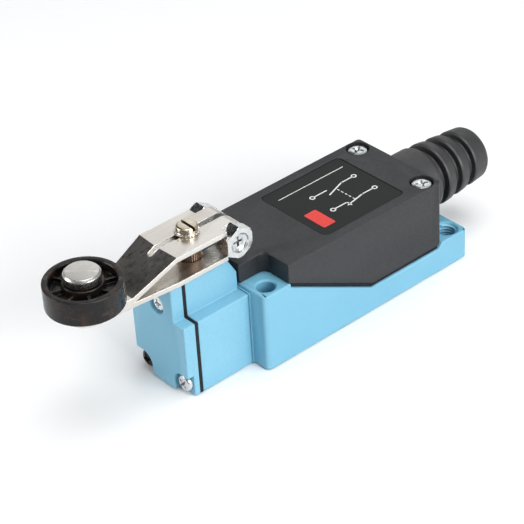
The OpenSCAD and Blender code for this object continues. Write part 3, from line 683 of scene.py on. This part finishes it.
# toothed lock washer: a ring with twisted teeth
bm = bmesh.new()
lathe(bm, [(1.6, 35.62), (2.5, 35.62), (2.5, 36.13), (1.6, 36.13)], (SX, 0, 0), "z", 56)
for k in range(18):
    c = bmesh.new()
    prism(c, [(2.3, -0.36), (2.86, -0.3), (2.86, 0.3), (2.3, 0.36)], -0.16, 0.16)
    mt = Matrix.Translation(Vector((SX, 0, 35.875)) * MM) @ Matrix.Rotation(2 * math.pi * k / 18, 4, "Z") @ Matrix.Rotation(math.radians(9), 4, "X")
    c.transform(mt)
    merge(bm, c)
bevelled(bm, "toothed_washer", 0.04, 2, 40, None, "lever_lock_washer")


def hexagon(r, a0=30):
    return [(r * math.cos(math.radians(a0 + 60 * k)), r * math.sin(math.radians(a0 + 60 * k))) for k in range(6)]


def threaded(r, z0, z1, pitch=0.7):
    """Profile of a threaded shank from z0 down to z1."""
    out, z = [], z0
    while z > z1 + pitch + 0.3:
        out += [(r, z), (r, z - pitch * 0.12), (r * 0.84, z - pitch * 0.5), (r, z - pitch * 0.88)]
        z -= pitch
    return out + [(r * 0.88, z1 + 0.35), (r * 0.66, z1), (0, z1)]


# clamp screw: hexagon head with a rounded rim, dished face and cross recess
bm = bmesh.new()
prism(bm, hexagon(4.04), 0.0, 3.1)
form = bmesh.new()
lathe(form, rounded([(0, -0.1), (3.8, -0.1), (4.3, 0.25), (4.3, 2.72), (3.72, 3.1), (0, 3.1)], [0, 0.1, 0.1, 0.2, 0.1, 0], 4), (0, 0, 0), "z", 72)
bm = boolean(bm, form, "INTERSECT")
dish = bmesh.new()
lathe(dish, rounded([(0, 2.3), (1.75, 2.3), (2.3, 2.55), (2.5, 3.3), (0, 3.3)], [0, 0.3, 0.3, 0, 0], 4), (0, 0, 0), "z", 48)
bm = boolean(bm, dish)
cut = bmesh.new()
prism(cut, cross(1.55, 0.36), 3.2, 1.35, "z", (0, 0, 0), 0.6)
bm = boolean(bm, cut)
shank = lathe(bmesh.new(), [(0, 0.05), (2.0, 0.05)] + threaded(2.0, -0.05, -12.35), (0, 0, 0), "z", 48)
bm = boolean(bm, shank, "UNION")
tr = AXES["y"].to_4x4()
tr.translation = Vector((32.3, 4.25, 31.825)) * MM
bm.transform(tr)
finish_mesh(bm, "hex_clamp_screw", MATS["zinc_screw"], "clamp_screw", angle=22, weighted=False)

bm = bmesh.new()
prism(bm, hexagon(4.04), 0.0, 3.0)
form = bmesh.new()
lathe(form, rounded([(0, -0.01), (3.7, -0.01), (4.3, 0.35), (4.3, 2.65), (3.7, 3.01), (0, 3.01)], [0, 0.1, 0.2, 0.2, 0.1, 0], 3), (0, 0, 0), "z", 72)
bm = boolean(bm, form, "INTERSECT")
hole = lathe(bmesh.new(), [(0, -1), (2.03, -1), (2.03, 2.5), (2.5, 4), (0, 4)], (0, 0, 0), "z", 48)
bm = boolean(bm, hole)
tr = AXES["-y"].to_4x4()
tr.translation = Vector((32.3, -4.25, 31.825)) * MM
bm.transform(tr)
finish_mesh(bm, "hex_clamp_nut", MATS["zinc_screw"], "clamp_nut", angle=22, weighted=False)

# roller: rim, web with low ribs on both sides, hub
Z0, Z1, ZM = 31.2, 37.1, 34.15
P = [(2.05, Z0 + 0.15), (4.55, Z0 + 0.15), (4.7, ZM - 0.75), (7.1, ZM - 0.75), (7.3, Z0 + 0.25), (7.55, Z0), (8.75, Z0), (8.75, Z1), (7.55, Z1), (7.3, Z1 - 0.25),
     (7.1, ZM + 0.75), (4.7, ZM + 0.75), (4.55, Z1 - 0.15), (2.05, Z1 - 0.15)]
RR = [0.1, 0.25, 0.3, 0.3, 0.1, 0.1, 0.35, 0.35, 0.1, 0.1, 0.3, 0.3, 0.25, 0.1]
bm = lathe(bmesh.new(), rounded(P, RR, 4, True), (RX, 0, 0), "z", 96)
ribs = bmesh.new()
for k in range(8):
    for za, zb in ((ZM + 0.6, ZM + 1.75), (ZM - 1.75, ZM - 0.6)):
        c = bmesh.new()
        prism(c, [(4.4, -0.32), (7.35, -0.28), (7.35, 0.28), (4.4, 0.32)], za, zb)
        c.transform(Matrix.Translation((RX * MM, 0, 0)) @ Matrix.Rotation(math.radians(22.5 + 45 * k), 4, "Z"))
        merge(ribs, c)
bevelled(boolean(bm, ribs, "UNION"), "nylon_roller", 0.08, 2, 40, None, "roller")

# rivet pin of the roller
D0 = 28.05
finish_mesh(lathe(bmesh.new(), rounded([(0, D0 - 1.0), (2.35, D0 - 1.0), (3.05, D0 - 0.55), (3.1, D0), (2.0, D0), (2.0, Z1 + 0.15), (4.1, Z1 + 0.15), (4.1, Z1 + 1.85), (3.65, Z1 + 2.3), (0, Z1 + 2.3)],
                                   [0, 0.8, 0.4, 0.1, 0.05, 0.05, 0.2, 0.22, 0.22, 0], 4), (RX, 0, 0), "z", 96), "roller_rivet", MATS["pin_steel"], "roller_pin", angle=50)

# cross-recess screws
phillips("cover_screw_pair", "cover_screws", [(-20, -10.7, 23.1), (-20, 10.7, 23.1)], "z", 2.6, 1.6, 1.5, 21.6, 1.75, 0.38, 1.2)
phillips("cap_screw_pair", "cap_screws", [(49.27, 0, 21.3), (49.27, 6.6, 2.8)], "x", 2.05, 1.4, 1.25, 4.2, 1.4, 0.3, 0.95, turn=10)
phillips("head_screw_pair", "head_screws", [(47.54, -6.5, 2.5), (43.5, 6.1, 16)], "x", 2.3, 2.9, 1.5, 18.5, 1.6, 0.36, 1.2, turn=20, dome=0.6)

# springs are copies of their CAD coils, fixed to the housing
for node, joint, fixed, travel in (("return_spring", "return_piston_slide", 49.62, 1.0), ("plunger_spring", "plunger_slide", 30.0, 1.6),
                                   ("button_spring", "button_slide", -2.6, 1.6), ("contact_spring", "contact_bridge_slide", 4.0, 0.96)):
    bm = cad_copy(node)
    o = finish_mesh(bm, node + "_coil", MATS[SLOT[node]], None, "housing", angle=50, weighted=False)
    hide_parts(node)
    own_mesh(o)

# carried CAD nodes keep their shape and get their finish
for n, o in NODES.items():
    o.data.materials.clear()
    o.data.materials.append(MATS[SLOT[n]])
    o.data.polygons.foreach_set("use_smooth", [True] * len(o.data.polygons))
    o.data.set_sharp_from_angle(angle=math.radians(30))

# ---------------------------------------------------------------- stage, light and camera


def stage_plane(name, size, loc, mat):
    bm = bmesh.new()
    bmesh.ops.create_grid(bm, x_segments=8, y_segments=8, size=size)
    me = bpy.data.meshes.new(name)
    bm.to_mesh(me)
    bm.free()
    me.materials.append(mat)
    o = bpy.data.objects.new(name, me)
    o.location = loc
    bpy.context.scene.collection.objects.link(o)
    return o


g = Graph("floor_paper", spec=0.2)
floor = g.done(g.mix(g.remap(g.noise(6, 3), 0.3, 0.7, 0, 1), (0.90, 0.90, 0.90, 1), (0.92, 0.92, 0.92, 1)), g.remap(g.noise(400, 3), 0.3, 0.7, 0.7, 0.85))
stage_plane("floor", 3.0, (0, 0, -0.0002), floor)

world = bpy.data.worlds.new("studio")
bpy.context.scene.world = world
world.use_nodes = True
wt = world.node_tree
bg = wt.nodes["Background"]
bg.inputs["Strength"].default_value = 1.0
wc = wt.nodes.new("ShaderNodeTexCoord")


def world_patch(direction, inner, outer):
    """1 inside a round patch of the sky in this direction and 0 outside it; inner and outer are its radii in degrees."""
    d = Vector(direction).normalized()
    dot = wt.nodes.new("ShaderNodeVectorMath")
    dot.operation = "DOT_PRODUCT"
    dot.inputs[1].default_value = d
    wt.links.new(wc.outputs["Generated"], dot.inputs[0])
    r = wt.nodes.new("ShaderNodeMapRange")
    r.interpolation_type = "SMOOTHSTEP"
    r.inputs["From Min"].default_value = math.cos(math.radians(outer))
    r.inputs["From Max"].default_value = math.cos(math.radians(inner))
    wt.links.new(dot.outputs["Value"], r.inputs["Value"])
    return r.outputs["Result"]


def world_mix(fac, a, b):
    n = wt.nodes.new("ShaderNodeMix")
    n.data_type = "RGBA"
    for key, v in (("A", a), ("B", b)):
        sk = [i for i in n.inputs if i.name == key and i.type == "RGBA"][0]
        if isinstance(v, tuple):
            sk.default_value = v
        else:
            wt.links.new(v, sk)
    wt.links.new(fac, [i for i in n.inputs if i.name == "Factor" and i.type == "VALUE"][0])
    return [q for q in n.outputs if q.type == "RGBA"][0]


SKY = (0.40, 0.41, 0.42, 1)
sky = world_mix(world_patch((0.72, 0.62, 0.12), 15, 62), SKY, (0.10, 0.10, 0.105, 1))
sky = world_mix(world_patch((-0.56, -0.62, 0.55), 12, 30), sky, (1.1, 1.1, 1.1, 1))
sky = world_mix(world_patch((0.12, -0.62, 0.775), 22, 36), sky, (0.008, 0.008, 0.01, 1))
wt.links.new(sky, bg.inputs["Color"])


def area(name, loc, target, size, power, color=(1, 1, 1)):
    li = bpy.data.lights.new(name, "AREA")
    li.shape = "RECTANGLE"
    li.size, li.size_y = size
    li.energy = power
    li.color = color
    o = bpy.data.objects.new(name, li)
    o.location = loc
    d = Vector(target) - Vector(loc)
    o.rotation_mode = "QUATERNION"
    o.rotation_quaternion = d.to_track_quat("-Z", "Y")
    bpy.context.scene.collection.objects.link(o)
    return o


area("key", (-0.06, 0.72, 0.36), (0, 0, 0.01), (0.5, 0.4), 5.2)
area("top", (-0.02, 0.12, 0.85), (0, 0, 0), (0.6, 0.6), 4.0)
area("front", (0.58, -0.42, 0.30), (0.05, 0, 0.01), (0.35, 0.35), 1.9)

FIT = dict(az=50.413289, el=34.703742, roll=-3.489885, tx=-8.271235, ty=-19.098932, tz=453.332868, f=1983.97817, cx=264.265159, cy=261.238414)
a, e, r = (math.radians(FIT[k]) for k in ("az", "el", "roll"))
back = Vector((math.cos(a) * math.cos(e), math.sin(a) * math.cos(e), math.sin(e)))
right = Vector((0, 0, 1)).cross(back).normalized()
up = back.cross(right)
cam_x = right * math.cos(r) + up * math.sin(r)
cam_y = up * math.cos(r) - right * math.sin(r)
where = cam_x * -FIT["tx"] + cam_y * -FIT["ty"] + back * FIT["tz"] + Vector((32, 0, 0))
cam_data = bpy.data.cameras.new("camera")
cam_data.sensor_width = 36.0
cam_data.lens = 36.0 * FIT["f"] / 524
cam_data.shift_x = (262 - FIT["cx"]) / 524
cam_data.shift_y = (FIT["cy"] - 262) / 524
cam_data.clip_start, cam_data.clip_end = 0.01, 20
cam = bpy.data.objects.new("camera", cam_data)
m = Matrix((cam_x, cam_y, back)).transposed().to_4x4()
m.translation = where * MM
cam.matrix_world = m
bpy.context.scene.collection.objects.link(cam)
bpy.context.scene.camera = cam
bpy.context.scene.view_settings.view_transform = "Standard"
